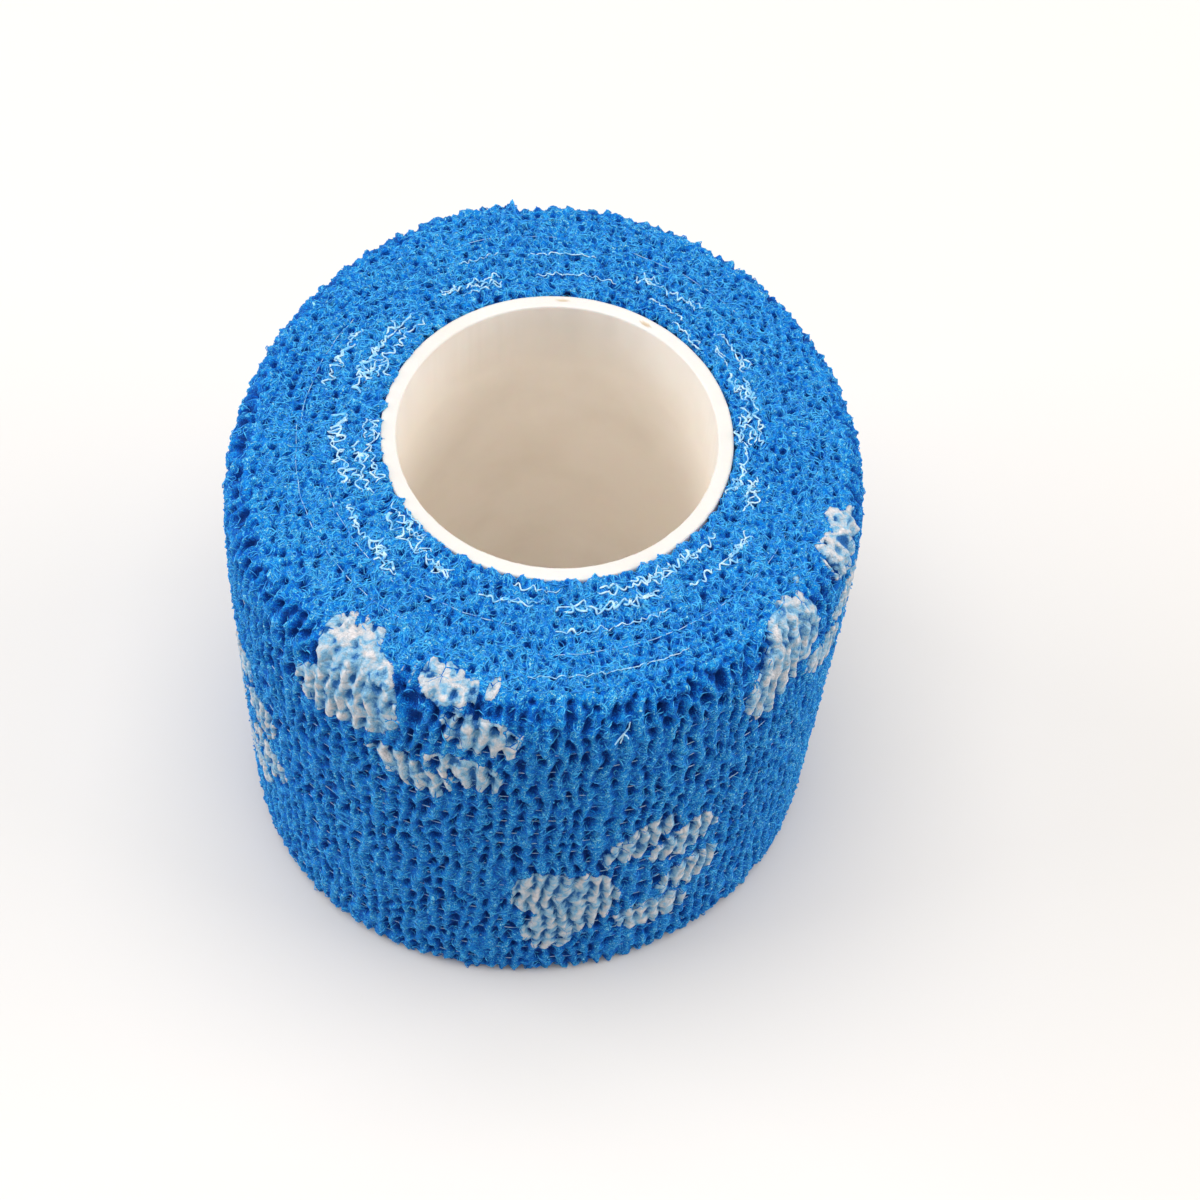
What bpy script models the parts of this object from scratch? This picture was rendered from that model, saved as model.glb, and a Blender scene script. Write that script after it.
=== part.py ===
"""Cohesive bandage roll: a crinkled elastic strip wound on a hollow core tube, standing on its end.

Metres, +Z up. The origin is the centre of the face that the roll stands on.
"""

import math

import bmesh
import bpy
from mathutils import Vector

MM = 0.001

# The strip and its winding
STRIP_WIDTH = 50.0 * MM  # the roll's height
OUTER_RADIUS = 28.95 * MM  # of the last turn, midway between its crests and troughs
TURN_THICKNESS = 0.8 * MM  # one crinkled layer, and so the step where the strip ends
END_ANGLE = math.radians(100.0)  # where the strip's cut end lies on the last turn
TOP_TAPER = 0.5 * MM  # how much narrower the roll grows towards its free end
TAPER_START = 34.0 * MM  # height where that narrowing starts

# How far the outline swells off a circle, as (swellings round the roll, amplitude, angle of a swelling)
OUT_OF_ROUND = (
    (2, 0.50 * MM, math.radians(70.0)),
    (3, 0.42 * MM, math.radians(98.0)),
)

# The rounded shoulders between the side and the two flat ends, as quarter ellipses
TOP_SHOULDER_RADIAL = 2.4 * MM
TOP_SHOULDER_HEIGHT = 4.6 * MM
BASE_SHOULDER_RADIAL = 1.2 * MM
BASE_SHOULDER_HEIGHT = 1.8 * MM

# The crinkle ribs that the gathered elastic threads raise, running from end to end
RIB_COUNT = 132
SAMPLES_PER_RIB = 3
RIB_DEPTH = 0.50 * MM
RIB_DEPTH_VARIATION = 0.35  # share of the depth that comes and goes along the roll
RIB_DEPTH_CYCLE = 21.0 * MM  # length of one such coming and going
RIB_WANDER = 0.45  # how far a rib strays sideways, in ribs
RIB_WANDER_CYCLE = 33.0 * MM  # length of one such straying
SIDE_RINGS = 6  # rings of points between the two shoulders

# The core tube
CORE_INNER_RADIUS = 14.3 * MM
CORE_OUTER_RADIUS = 15.7 * MM
CORE_CHAMFER = 0.25 * MM
CORE_SEGMENTS = 96
CORE_OFFSET = Vector((0.7 * MM, 1.1 * MM, 0.0))  # the strip is wound a little off centre
FIT_GAP = 0.3 * MM  # between the core and the innermost turn

BANDAGE_BLUE = (0.010, 0.235, 0.690, 1.0)
CORE_WHITE = (0.820, 0.780, 0.720, 1.0)


def clear_scene():
    """Removes whatever the scene holds."""
    for obj in list(bpy.data.objects):
        bpy.data.objects.remove(obj)


def make_material(name, colour, roughness):
    """A plain Principled material."""
    material = bpy.data.materials.new(name)
    material.use_nodes = True
    shader = material.node_tree.nodes["Principled BSDF"]
    shader.inputs["Base Color"].default_value = colour
    shader.inputs["Roughness"].default_value = roughness
    shader.inputs["Metallic"].default_value = 0.0
    return material


def turned_object(name, outline, steps, material, collection):
    """A closed (radius, height) outline, turned once round Z by a Screw modifier."""
    bm = bmesh.new()
    loop = [bm.verts.new((radius, 0.0, height)) for radius, height in outline]
    for here, after in zip(loop, loop[1:] + loop[:1]):
        bm.edges.new((here, after))
    mesh = bpy.data.meshes.new(name)
    bm.to_mesh(mesh)
    bm.free()
    mesh.materials.append(material)
    obj = bpy.data.objects.new(name, mesh)
    collection.objects.link(obj)
    screw = obj.modifiers.new("turn", "SCREW")
    screw.axis = "Z"
    screw.angle = 2.0 * math.pi
    screw.steps = steps
    screw.render_steps = steps
    screw.use_merge_vertices = True
    screw.merge_threshold = 0.05 * MM
    return obj


def freeze(obj, sharp_angle):
    """Turns an object's outline and modifier into the mesh that they make, shaded smooth."""
    depsgraph = bpy.context.evaluated_depsgraph_get()
    mesh = bpy.data.meshes.new_from_object(obj.evaluated_get(depsgraph))
    obj.modifiers.clear()
    obj.data = mesh
    mesh.shade_smooth()
    mesh.set_sharp_from_angle(angle=sharp_angle)


def core_outline():
    """The core's wall, with a small chamfer at each rim, from the bore's top outwards and down."""
    inner, outer, cut = CORE_INNER_RADIUS, CORE_OUTER_RADIUS, CORE_CHAMFER
    length = STRIP_WIDTH
    return [
        (inner, length - cut),
        (inner + cut, length),
        (outer - cut, length),
        (outer, length - cut),
        (outer, cut),
        (outer - cut, 0.0),
        (inner + cut, 0.0),
        (inner, cut),
    ]


def side_radius(height):
    """The last turn's radius at a height, before the shoulders: straight, then narrowing a little."""
    rise = max(0.0, height - TAPER_START) / (STRIP_WIDTH - TAPER_START)
    return OUTER_RADIUS - TOP_TAPER * rise**2


def shoulder(radial, tall, angles):
    """(inset from the side, drop from the end) of points on a quarter ellipse; 0 degrees is the flat end."""
    points = []
    for angle in map(math.radians, angles):
        points.append((radial * (1.0 - math.sin(angle)), tall * (1.0 - math.cos(angle))))
    return points


def winding_outline():
    """The wound strip's section: straight bore, flat top, rounded shoulders, near-straight side, flat base."""
    bore = CORE_OUTER_RADIUS + FIT_GAP
    outline = [(bore, STRIP_WIDTH)]
    for inset, drop in shoulder(TOP_SHOULDER_RADIAL, TOP_SHOULDER_HEIGHT, (0, 28, 55)):
        height = STRIP_WIDTH - drop
        outline.append((side_radius(height) - inset, height))
    high = STRIP_WIDTH - TOP_SHOULDER_HEIGHT
    low = BASE_SHOULDER_HEIGHT
    for ring in range(SIDE_RINGS):
        height = high + (low - high) * ring / (SIDE_RINGS - 1)
        outline.append((side_radius(height), height))
    for inset, drop in shoulder(BASE_SHOULDER_RADIAL, BASE_SHOULDER_HEIGHT, (45, 0)):
        outline.append((side_radius(drop) - inset, drop))
    outline.append((bore, 0.0))
    return outline


def spiral_offset(angle):
    """How far the last turn lies from its mean radius: it falls by one layer from its cut end round."""
    turned = ((angle - END_ANGLE) / (2.0 * math.pi)) % 1.0
    return TURN_THICKNESS * (0.5 - turned)


def out_of_round_offset(angle):
    """How far the hand-wound outline swells off a circle."""
    return sum(swell * math.cos(count * (angle - crest)) for count, swell, crest in OUT_OF_ROUND)


def rib_offset(angle, height):
    """How far a crinkle's crest or trough stands from the mean surface."""
    stray = 2.0 * math.pi * height / RIB_WANDER_CYCLE + 1.7 * math.sin(3.0 * angle)
    swing = 2.0 * math.pi * height / RIB_DEPTH_CYCLE + 7.0 * angle
    depth = RIB_DEPTH * (1.0 + RIB_DEPTH_VARIATION * math.sin(swing))
    phase = RIB_COUNT * angle + 2.0 * math.pi * RIB_WANDER * math.sin(stray)
    return 0.5 * depth * math.cos(phase)


def wind(mesh):
    """Moves the turned ring's outer points out to the spiral and its ribs, and its bore round the core."""
    bore_limit = CORE_OUTER_RADIUS + FIT_GAP + TURN_THICKNESS
    for vert in mesh.vertices:
        radius = vert.co.xy.length
        if radius < bore_limit:
            vert.co += CORE_OFFSET
            continue
        angle = math.atan2(vert.co.y, vert.co.x)
        radius += spiral_offset(angle) + out_of_round_offset(angle) + rib_offset(angle, vert.co.z)
        vert.co.x = radius * math.cos(angle)
        vert.co.y = radius * math.sin(angle)


def centre_on_origin(lead, others):
    """Moves every mesh so that the box of the lead one is centred over the origin."""
    xs = [vert.co.x for vert in lead.data.vertices]
    ys = [vert.co.y for vert in lead.data.vertices]
    shift = Vector((-(min(xs) + max(xs)) / 2.0, -(min(ys) + max(ys)) / 2.0, 0.0))
    for obj in (lead, *others):
        for vert in obj.data.vertices:
            vert.co += shift


def build_core(collection):
    """The hollow tube that the strip is wound on."""
    plastic = make_material("core_plastic", CORE_WHITE, 0.45)
    core = turned_object("core_tube", core_outline(), CORE_SEGMENTS, plastic, collection)
    freeze(core, math.radians(30.0))
    for vert in core.data.vertices:
        vert.co += CORE_OFFSET
    return core


def build_winding(collection):
    """The whole wound strip as one solid."""
    cloth = make_material("bandage_cloth", BANDAGE_BLUE, 0.85)
    steps = RIB_COUNT * SAMPLES_PER_RIB
    winding = turned_object("bandage_winding", winding_outline(), steps, cloth, collection)
    freeze(winding, math.radians(60.0))
    wind(winding.data)
    return winding


def main():
    """Builds the roll in its own collection."""
    clear_scene()
    collection = bpy.data.collections.new("bandage_roll")
    bpy.context.scene.collection.children.link(collection)
    core = build_core(collection)
    winding = build_winding(collection)
    centre_on_origin(winding, [core])


main()
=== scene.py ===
"""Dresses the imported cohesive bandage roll: crinkled printed cloth, felted ends, stray threads and core tube.

Lengths inside this file are in millimetres and become metres where a mesh is written. Angles run
counter-clockwise from +X. The side seen in front faces -Y.
"""

from __future__ import annotations

import logging
import math
from dataclasses import dataclass, field
from enum import Enum

import bmesh
import bpy
import numpy as np
from mathutils import Matrix, Vector

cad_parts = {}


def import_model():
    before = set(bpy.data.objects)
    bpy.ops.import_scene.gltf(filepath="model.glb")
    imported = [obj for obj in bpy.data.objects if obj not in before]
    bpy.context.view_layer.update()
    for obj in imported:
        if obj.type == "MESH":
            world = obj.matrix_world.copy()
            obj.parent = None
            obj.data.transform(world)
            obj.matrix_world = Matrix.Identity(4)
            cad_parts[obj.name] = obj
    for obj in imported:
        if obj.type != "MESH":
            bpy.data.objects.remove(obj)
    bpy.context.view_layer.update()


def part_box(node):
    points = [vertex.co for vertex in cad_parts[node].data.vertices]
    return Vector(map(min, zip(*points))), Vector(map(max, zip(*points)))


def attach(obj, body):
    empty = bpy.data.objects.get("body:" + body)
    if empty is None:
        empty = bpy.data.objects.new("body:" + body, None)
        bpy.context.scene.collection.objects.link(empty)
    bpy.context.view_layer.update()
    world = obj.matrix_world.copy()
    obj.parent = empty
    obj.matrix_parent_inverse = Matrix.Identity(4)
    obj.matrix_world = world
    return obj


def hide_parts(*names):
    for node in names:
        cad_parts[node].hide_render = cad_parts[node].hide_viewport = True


LOG = logging.getLogger("bandage_roll")
MM = 0.001
FULL_TURN = 2.0 * math.pi
# A distance in millimetres that is past every print, for what lies on an inner turn or outside the motif
UNPRINTED = 99.0


# ---------------------------------------------------------------------------------------------
# Small helpers
# ---------------------------------------------------------------------------------------------


def linear(hex_colour: str) -> tuple[float, float, float, float]:
    """Turns an sRGB hex colour into linear RGBA.

    Args:
        hex_colour: Six hex digits, with or without a leading #.

    Returns:
        The linear red, green, blue and an alpha of 1.
    """
    digits = hex_colour.lstrip("#")
    channels = []
    for place in (0, 2, 4):
        value = int(digits[place : place + 2], 16) / 255.0
        channels.append(value / 12.92 if value <= 0.04045 else ((value + 0.055) / 1.055) ** 2.4)
    return (channels[0], channels[1], channels[2], 1.0)


def smooth_step(values: np.ndarray, low: float, high: float) -> np.ndarray:
    """Rises smoothly from 0 at low to 1 at high.

    Args:
        values: What to map.
        low: Where the rise starts.
        high: Where the rise ends.

    Returns:
        The mapped values.
    """
    share = np.clip((values - low) / (high - low), 0.0, 1.0)
    return share * share * (3.0 - 2.0 * share)


def add_node(
    tree: bpy.types.NodeTree, kind: str, settings: dict | None = None, links: dict | None = None
) -> bpy.types.Node:
    """Adds a shader node with its settings and its incoming links.

    Args:
        tree: The material's node tree.
        kind: The node's type name.
        settings: Property names, or input names or numbers, and their values.
        links: Input names or numbers, and the output sockets that feed them.

    Returns:
        The new node.
    """
    node = tree.nodes.new(kind)
    for key, value in (settings or {}).items():
        if isinstance(key, str) and hasattr(node, key):
            setattr(node, key, value)
        else:
            node.inputs[key].default_value = value
    for key, socket in (links or {}).items():
        tree.links.new(socket, node.inputs[key])
    return node


def fill_ramp(ramp: bpy.types.ColorRamp, stops: tuple[tuple[float, str], ...]) -> None:
    """Puts colours on a new ramp.

    Args:
        ramp: The ramp, with the two stops that it starts with.
        stops: Positions in rising order, and their sRGB hex colours.
    """
    for element, (position, colour) in zip(ramp.elements, (stops[0], stops[-1])):
        element.position, element.color = position, linear(colour)
    for position, colour in stops[1:-1]:
        ramp.elements.new(position).color = linear(colour)


def new_material(name: str) -> tuple[bpy.types.Material, bpy.types.NodeTree, bpy.types.Node]:
    """Starts a material.

    Args:
        name: Its name.

    Returns:
        The material, its node tree and its Principled shader.
    """
    material = bpy.data.materials.new(name)
    material.use_nodes = True
    return material, material.node_tree, material.node_tree.nodes["Principled BSDF"]


def add_object(name: str, data: bpy.types.ID) -> bpy.types.Object:
    """Adds an object to the scene.

    Args:
        name: Its name.
        data: Its mesh, curve, light or camera.

    Returns:
        The object, at the origin.
    """
    new = bpy.data.objects.new(name, data)
    bpy.context.scene.collection.objects.link(new)
    return new


def read_places(items: bpy.types.bpy_prop_collection, name: str) -> np.ndarray:
    """Reads one vector of each vertex or face of a mesh.

    Args:
        items: The mesh's vertices or faces.
        name: What to read, such as co, center or normal.

    Returns:
        One row of x, y and z for each.
    """
    flat = np.empty(3 * len(items), np.float32)
    items.foreach_get(name, flat)
    return flat.reshape(-1, 3)


def write_points(mesh: bpy.types.Mesh, places: np.ndarray, marks: dict[str, np.ndarray]) -> None:
    """Moves a mesh's points and writes the marks that its finish reads.

    Args:
        mesh: The mesh.
        places: One row of x, y and z in metres for each point.
        marks: Names of new attributes, and their value at each point.
    """
    mesh.vertices.foreach_set("co", places.astype(np.float32).ravel())
    for name, values in marks.items():
        layer = mesh.attributes.new(name, "FLOAT", "POINT")
        layer.data.foreach_set("value", values.astype(np.float32))
    mesh.shade_smooth()


def dress(piece: bpy.types.Object, material: bpy.types.Material) -> None:
    """Gives a finished piece its material, its body and the slot its finish comes from.

    Args:
        piece: The piece, at the origin with its place in its mesh.
        material: Its finish.
    """
    piece.data.materials.clear()
    piece.data.materials.append(material)
    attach(piece, "root")
    LOG.info("%s: %d faces", piece.name, len(piece.data.polygons))


def turned_mesh(name: str, rail: bmesh.types.BMesh, columns: int) -> bpy.types.Mesh:
    """Turns an outline once round Z with a Screw modifier, and frees it.

    Args:
        name: The new mesh's name.
        rail: The outline, in metres, in the half-plane of +X.
        columns: How many steps the turn has.

    Returns:
        The turned mesh.
    """
    outline = bpy.data.meshes.new(name + "_outline")
    rail.to_mesh(outline)
    rail.free()
    lathe = add_object(name + "_lathe", outline)
    screw = lathe.modifiers.new("turn", "SCREW")
    screw.axis = "Z"
    screw.angle = FULL_TURN
    screw.steps = columns
    screw.render_steps = columns
    screw.use_merge_vertices = True
    screw.merge_threshold = 0.01 * MM
    graph = bpy.context.evaluated_depsgraph_get()
    mesh = bpy.data.meshes.new_from_object(lathe.evaluated_get(graph))
    mesh.name = name
    bpy.data.objects.remove(lathe)
    return mesh


@dataclass(frozen=True)
class PlaneNoise:
    """Repeatable noise over a plane, which can repeat along its first axis."""

    seed: int
    rows: int = 256

    def waves(self, x: np.ndarray, y: np.ndarray, period: int = 256) -> np.ndarray:
        """Gradient noise, from about -1 to 1, one wave to a cell.

        Args:
            x: First coordinate, in cells.
            y: Second coordinate, in cells.
            period: Cells after which it repeats along x.

        Returns:
            The noise at each point.
        """
        turns = np.random.default_rng(self.seed).uniform(0.0, FULL_TURN, (period, self.rows))
        cell_x, cell_y = np.floor(x).astype(int), np.floor(y).astype(int)
        in_x, in_y = x - cell_x, y - cell_y
        ease_x = in_x**3 * (in_x * (in_x * 6.0 - 15.0) + 10.0)
        ease_y = in_y**3 * (in_y * (in_y * 6.0 - 15.0) + 10.0)
        total = np.zeros_like(in_x)
        for step_x in (0, 1):
            for step_y in (0, 1):
                turn = turns[(cell_x + step_x) % period, (cell_y + step_y) % self.rows]
                slope = np.cos(turn) * (in_x - step_x) + np.sin(turn) * (in_y - step_y)
                share_x = ease_x if step_x else 1.0 - ease_x
                share_y = ease_y if step_y else 1.0 - ease_y
                total += slope * share_x * share_y
        return 1.5 * total

    def rough(self, x: np.ndarray, y: np.ndarray, period: int = 128, octaves: int = 3) -> np.ndarray:
        """Sums waves of halving size and strength.

        Args:
            x: First coordinate, in cells of the largest wave.
            y: Second coordinate, in the same cells.
            period: Cells of the largest wave after which it repeats along x.
            octaves: How many sizes of wave.

        Returns:
            The sum at each point.
        """
        total = np.zeros_like(x, dtype=float)
        for octave in range(octaves):
            scale = 2**octave
            layer = PlaneNoise(self.seed + octave)
            total += layer.waves(x * scale, y * scale, period * scale) / scale
        return total

    def pits(
        self,
        x: np.ndarray,
        y: np.ndarray,
        half_width: tuple[float, float],
        half_height: tuple[float, float],
        jitter: tuple[float, float],
        present: float,
        stagger: float = 0.0,
        period: int = 256,
    ) -> np.ndarray:
        """Scatters rounded pits, one to a cell at most.

        Args:
            x: First coordinate, in cells.
            y: Second coordinate, in cells.
            half_width: Least and greatest half width, in cells.
            half_height: Least and greatest half height, in cells.
            jitter: How far a pit may lie from its cell's middle, each way.
            present: Share of the cells that hold a pit.
            stagger: How far every other column is shifted along y, in cells.
            period: Cells after which it repeats along x.

        Returns:
            0 outside the pits, up to 1 at the bottom of the deepest.
        """
        rng = np.random.default_rng(self.seed)
        shape = (6, period, self.rows)
        off_x, off_y, wide, tall, deep, there = rng.uniform(0.0, 1.0, shape)
        column = np.floor(x).astype(int)
        deepest = np.zeros_like(x, dtype=float)
        for step_x in (-1, 0, 1):
            here_x = column + step_x
            shift = stagger * (here_x % 2)
            row = np.floor(y - shift).astype(int)
            for step_y in (-1, 0, 1):
                here_y = row + step_y
                pick = (here_x % period, here_y % self.rows)
                middle_x = here_x + 0.5 + jitter[0] * (2.0 * off_x[pick] - 1.0)
                middle_y = here_y + 0.5 + jitter[1] * (2.0 * off_y[pick] - 1.0) + shift
                width = half_width[0] + (half_width[1] - half_width[0]) * wide[pick]
                height = half_height[0] + (half_height[1] - half_height[0]) * tall[pick]
                reach = 1.0 - ((x - middle_x) / width) ** 2 - ((y - middle_y) / height) ** 2
                bowl = np.clip(reach, 0.0, 1.0) ** 0.6 * (0.45 + 0.55 * deep[pick])
                deepest = np.maximum(deepest, np.where(there[pick] < present, bowl, 0.0))
        return deepest


# ---------------------------------------------------------------------------------------------
# Finishes
# ---------------------------------------------------------------------------------------------


@dataclass(frozen=True)
class CohesiveCloth:
    """Latex-sized nonwoven polyester with a flexographic white print: dyed felt, matt and slightly fuzzy."""

    name: str = "printed_nonwoven_cloth"
    # From painted shade at the bottom of a pit, through the dyed blue, to painted highlight on the fibres that
    # catch the light
    blues: tuple[tuple[float, str], ...] = (
        (0.00, "#003482"),
        (0.26, "#0656BA"),
        (0.50, "#0E80D4"),
        (0.74, "#3AAEE4"),
        (1.00, "#B0E6F0"),
    )
    # The ink, from the white film to the blue where it is thin over the pits; that blue end is partly painted
    # shade in the creases
    inks: tuple[tuple[float, str], ...] = (
        (0.26, "#D6D2D4"),
        (0.46, "#B8C2CC"),
        (0.66, "#80B4D4"),
        (0.92, "#2A68AC"),
    )
    # Sizes in millimetres. A real fibre, 0.02 mm thick, is too fine to show, so a curl stands for a tuft
    # of them and the grain for a few side by side
    tone_size: float = 4.0
    curl_size: float = 0.60
    fine_curl_size: float = 0.30
    grain_size: float = 0.13
    facet_size: float = 1.5
    fleck_size: float = 1.1
    fibre_relief: float = 0.13
    # How far from its middle value the curls' noise still draws a fibre
    curl_width: float = 0.055
    fine_curl_width: float = 0.075
    fuzz: float = 0.07
    fuzz_tint: str = "#A8D8F8"

    def make(self) -> bpy.types.Material:
        """Builds the material.

        Returns:
            The material, which reads the cavity and print attributes of its mesh.
        """
        material, tree, shader = new_material(self.name)
        place = add_node(tree, "ShaderNodeTexCoord")
        in_mm = add_node(
            tree, "ShaderNodeMapping", {"Scale": (1.0 / MM,) * 3}, {"Vector": place.outputs["Object"]}
        )
        spot = in_mm.outputs["Vector"]
        cavity = add_node(tree, "ShaderNodeAttribute", {"attribute_name": "cavity"}).outputs["Fac"]
        printed = add_node(tree, "ShaderNodeAttribute", {"attribute_name": "print"}).outputs["Fac"]
        tone, grain, fleck = (
            add_node(
                tree,
                "ShaderNodeTexNoise",
                {"Scale": 1.0 / size, "Detail": detail, "Roughness": 0.6, "Distortion": twist},
                {"Vector": spot},
            ).outputs["Fac"]
            for size, detail, twist in (
                (self.tone_size, 2.0, 0.0),
                (self.grain_size, 2.0, 0.0),
                (self.fleck_size, 1.0, 0.6),
            )
        )
        curls = self._curls(tree, spot, self.curl_size, self.curl_width)
        fine_curls = self._curls(tree, spot, self.fine_curl_size, self.fine_curl_width)
        # Painted shade and highlight: the cavity darkens the felt in pits and valleys, and the curls and grain
        # lift it towards the ramp's light stops
        shares = ((cavity, -0.74), (tone, 0.30), (curls, 0.32), (fine_curls, 0.26), (grain, 0.60))
        level = self._sum(tree, -0.04, shares)
        felt = add_node(tree, "ShaderNodeValToRGB", {}, {"Fac": level})
        fill_ramp(felt.color_ramp, self.blues)
        facets = add_node(
            tree,
            "ShaderNodeTexVoronoi",
            {"feature": "DISTANCE_TO_EDGE", "Scale": 1.0 / self.facet_size, "Randomness": 1.0},
            {"Vector": spot},
        ).outputs["Distance"]
        mask = self._mask(tree, facets, printed, cavity, tone, grain)
        # The cavity term is partly thinner ink over the pits and partly painted shade in the creases; fleck,
        # tone and grain vary it at random
        ink_thinness_and_shade = self._sum(tree, -0.55, ((cavity, 0.50), (tone, 0.40), (fleck, 1.20), (grain, 0.45)))
        coat = add_node(tree, "ShaderNodeValToRGB", {}, {"Fac": ink_thinness_and_shade})
        fill_ramp(coat.color_ramp, self.inks)
        colour = add_node(
            tree,
            "ShaderNodeMix",
            {"data_type": "RGBA"},
            {"Factor": mask, 6: felt.outputs["Color"], 7: coat.outputs["Color"]},
        )
        tree.links.new(colour.outputs[2], shader.inputs["Base Color"])
        rough = add_node(tree, "ShaderNodeMapRange", {"To Min": 0.95, "To Max": 0.70}, {"Value": mask})
        tree.links.new(rough.outputs["Result"], shader.inputs["Roughness"])
        crease = add_node(tree, "ShaderNodeMapRange", {"From Max": 0.16}, {"Value": facets})
        folded = add_node(
            tree, "ShaderNodeMath", {"operation": "MULTIPLY"}, {0: crease.outputs["Result"], 1: mask}
        )
        height = self._sum(
            tree, 0.0, ((curls, 0.7), (fine_curls, 0.35), (grain, 0.8), (folded.outputs["Value"], 1.6))
        )
        soft = add_node(tree, "ShaderNodeMapRange", {"To Min": 0.9, "To Max": 0.75}, {"Value": mask})
        bump = add_node(
            tree,
            "ShaderNodeBump",
            {"Distance": self.fibre_relief * MM},
            {"Height": height, "Strength": soft.outputs["Result"]},
        )
        tree.links.new(bump.outputs["Normal"], shader.inputs["Normal"])
        shader.inputs["Specular IOR Level"].default_value = 0.06
        shader.inputs["Sheen Weight"].default_value = self.fuzz
        shader.inputs["Sheen Roughness"].default_value = 0.5
        shader.inputs["Sheen Tint"].default_value = linear(self.fuzz_tint)
        return material

    def _curls(
        self, tree: bpy.types.NodeTree, spot: bpy.types.NodeSocket, size: float, width: float
    ) -> bpy.types.NodeSocket:
        """Curly fibres: bright lines, partly painted highlight, where a twisted noise crosses its middle value.

        Args:
            tree: The material's node tree.
            spot: Place in millimetres.
            size: Size of the curls, in millimetres.
            width: How far from its middle value the noise still counts.

        Returns:
            1 on a fibre and 0 off it.
        """
        settings = {"Scale": 1.0 / size, "Detail": 1.5, "Roughness": 0.6, "Distortion": 0.8}
        noise = add_node(tree, "ShaderNodeTexNoise", settings, {"Vector": spot}).outputs["Fac"]
        off = add_node(tree, "ShaderNodeMath", {"operation": "SUBTRACT", 1: 0.5}, {0: noise})
        far = add_node(tree, "ShaderNodeMath", {"operation": "ABSOLUTE"}, {0: off.outputs["Value"]})
        line = add_node(
            tree,
            "ShaderNodeMapRange",
            {"interpolation_type": "SMOOTHSTEP", "From Max": width, "To Min": 1.0, "To Max": 0.0},
            {"Value": far.outputs["Value"]},
        )
        return line.outputs["Result"]

    def _sum(
        self,
        tree: bpy.types.NodeTree,
        start: float,
        shares: tuple[tuple[bpy.types.NodeSocket, float], ...],
    ) -> bpy.types.NodeSocket:
        """Adds values up by their shares.

        Args:
            tree: The material's node tree.
            start: What the sum starts from.
            shares: Sockets and their shares.

        Returns:
            The sum.
        """
        total = None
        for socket, share in shares:
            links = {0: socket} if total is None else {0: socket, 2: total}
            settings = {"operation": "MULTIPLY_ADD", 1: share, 2: start}
            total = add_node(tree, "ShaderNodeMath", settings, links).outputs["Value"]
        return total

    def _mask(
        self,
        tree: bpy.types.NodeTree,
        facets: bpy.types.NodeSocket,
        printed: bpy.types.NodeSocket,
        cavity: bpy.types.NodeSocket,
        tone: bpy.types.NodeSocket,
        grain: bpy.types.NodeSocket,
    ) -> bpy.types.NodeSocket:
        """Where the ink lies: crisp, with ragged edges and a few cracks.

        Args:
            tree: The material's node tree.
            facets: Distance from the film's creases, as a share of a facet.
            printed: Millimetres inside the print's edge.
            cavity: 1 at the bottom of a pit.
            tone: Broad noise.
            grain: Fine noise.

        Returns:
            1 on the ink and 0 off it.
        """
        crack = add_node(
            tree,
            "ShaderNodeMapRange",
            {"From Min": 0.008, "From Max": 0.045, "To Min": 1.9, "To Max": 0.0},
            {"Value": facets},
        )
        patchy = add_node(
            tree, "ShaderNodeMapRange", {"From Min": 0.46, "From Max": 0.60}, {"Value": tone}
        )
        gap = add_node(
            tree,
            "ShaderNodeMath",
            {"operation": "MULTIPLY"},
            {0: crack.outputs["Result"], 1: patchy.outputs["Result"]},
        )
        edge = self._sum(
            tree, 0.0, ((printed, 1.0), (grain, 0.60), (gap.outputs["Value"], -0.85), (cavity, -0.25))
        )
        mask = add_node(
            tree,
            "ShaderNodeMapRange",
            {"interpolation_type": "SMOOTHSTEP", "From Min": 0.26, "From Max": 0.36},
            {"Value": edge},
        )
        return mask.outputs["Result"]


@dataclass(frozen=True)
class PlainThread:
    """A spun or extruded thread or the cut edge of a film: one matt colour that varies a little along it."""

    name: str
    dark: str
    light: str
    roughness: float
    patch_size: float
    see_through: float = 0.0

    def make(self) -> bpy.types.Material:
        """Builds the material.

        Returns:
            The material.
        """
        material, tree, shader = new_material(self.name)
        place = add_node(tree, "ShaderNodeTexCoord")
        patches = add_node(
            tree,
            "ShaderNodeTexNoise",
            {"Scale": 1.0 / (self.patch_size * MM), "Detail": 2.0},
            {"Vector": place.outputs["Object"]},
        )
        shades = add_node(tree, "ShaderNodeValToRGB", {}, {"Fac": patches.outputs["Fac"]})
        fill_ramp(shades.color_ramp, ((0.38, self.dark), (0.62, self.light)))
        tree.links.new(shades.outputs["Color"], shader.inputs["Base Color"])
        shader.inputs["Roughness"].default_value = self.roughness
        shader.inputs["Subsurface Weight"].default_value = self.see_through
        shader.inputs["Subsurface Scale"].default_value = 0.3 * MM
        return material


DYED_FIBRE = PlainThread("dyed_polyester_fibre", "#0C78D0", "#40B0E6", 0.9, 0.40)
BARE_ELASTIC = PlainThread("bare_elastane_thread", "#4F9AD8", "#A9CDE8", 0.45, 1.2, 0.2)
CUT_FILM = PlainThread("cut_print_film", "#6EBAE8", "#BCDCEC", 0.7, 0.8)


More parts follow.
